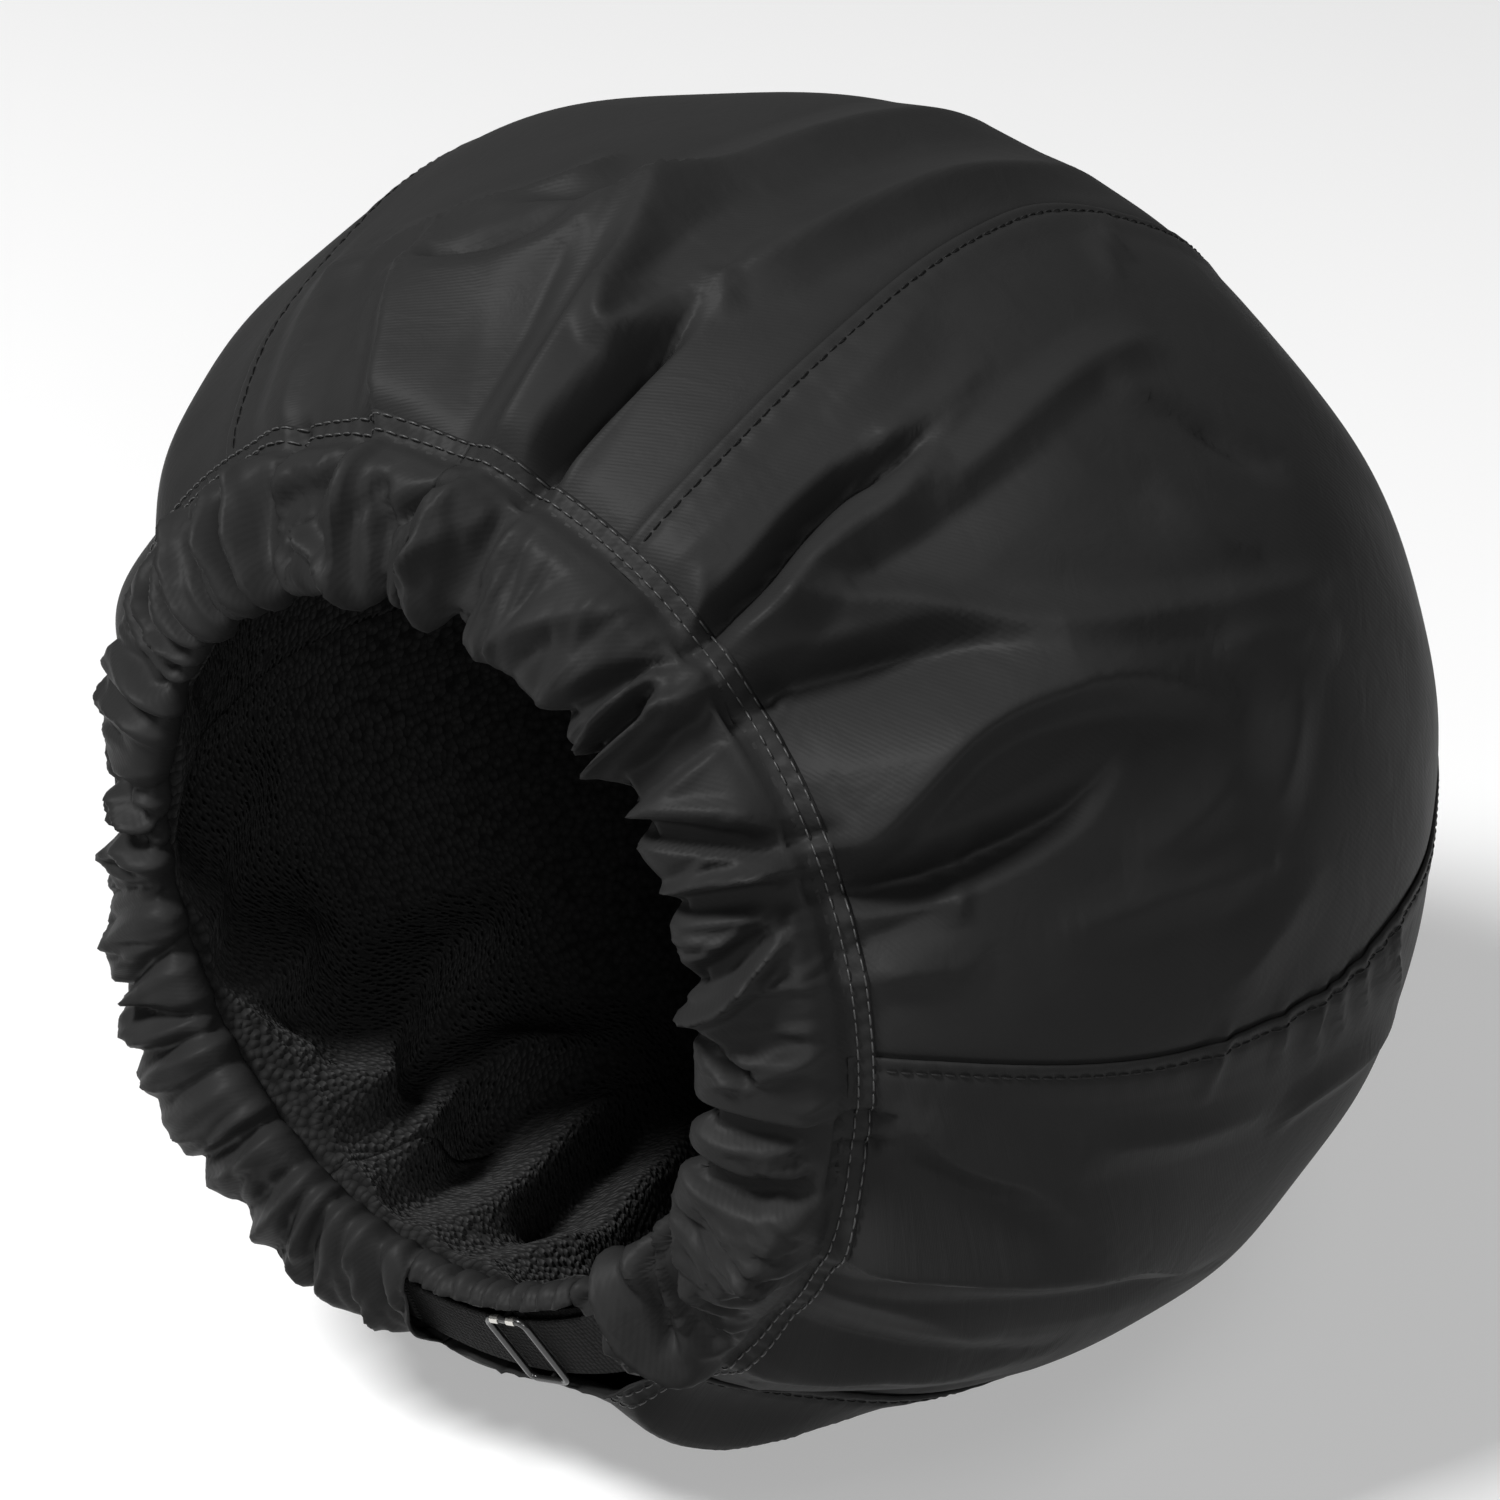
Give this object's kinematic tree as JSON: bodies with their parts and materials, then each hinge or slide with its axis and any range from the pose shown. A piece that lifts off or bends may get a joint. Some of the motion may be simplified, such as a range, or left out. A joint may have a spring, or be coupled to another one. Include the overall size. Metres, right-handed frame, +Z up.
{
  "type": "adjustable lined bath cap",
  "caption": "Round nylon bath cap lying on its side, sewn from gores and lined with terry, gathered on an elastic band with a nape strap and wire slider.",
  "frame": {"origin": "middle of the flattened patch that the cap rests on, under the centre of the crown", "axes": "+Z up; the opening faces -Y; angles round the opening run from +X towards +Z"},
  "size_m": [0.3037, 0.2739, 0.2951],
  "materials": {
    "nylon": "calendered plain-weave nylon with a soft sheen",
    "terry": "looped terry pile",
    "thread": "spun polyester sewing thread",
    "elastic": "woven elastic webbing",
    "enamel_wire": "black enamel on bent steel wire",
    "bare_wire": "bare bright nickel"
  },
  "bodies": {
    "cap": {"shell_panel_1": "nylon", "shell_panel_2": "nylon", "shell_panel_3": "nylon", "shell_panel_4": "nylon", "shell_panel_5": "nylon", "shell_panel_6": "nylon", "lining_panel_1": "terry", "lining_panel_2": "terry", "lining_panel_3": "terry", "lining_panel_4": "terry", "lining_panel_5": "terry", "lining_panel_6": "terry", "seam_topstitch_1": "thread", "seam_topstitch_2": "thread", "seam_topstitch_3": "thread", "seam_topstitch_4": "thread", "seam_topstitch_5": "thread", "seam_topstitch_6": "thread", "band_casing_left": "nylon", "band_casing_right": "nylon", "window_facing": "nylon", "window_lip": "nylon", "band_topstitch": "thread", "band_elastic": "elastic", "anchor_ring": "enamel_wire", "nape_strap": "elastic", "strap_return": "elastic", "strap_bartack": "thread"},
    "slider": {"strap_end_loop": "elastic", "slider_frame": "enamel_wire", "slider_bar": "enamel_wire", "slider_tips": "bare_wire"}
  },
  "joints": [
    {"name": "slider_travel", "type": "hinge", "parent": "cap", "child": "slider", "pos_m": [0, -0.1101, 0.142], "axis": [0, -1, 0], "range_deg": [-13, 8], "deforming": ["strap_return"]}
  ]
}
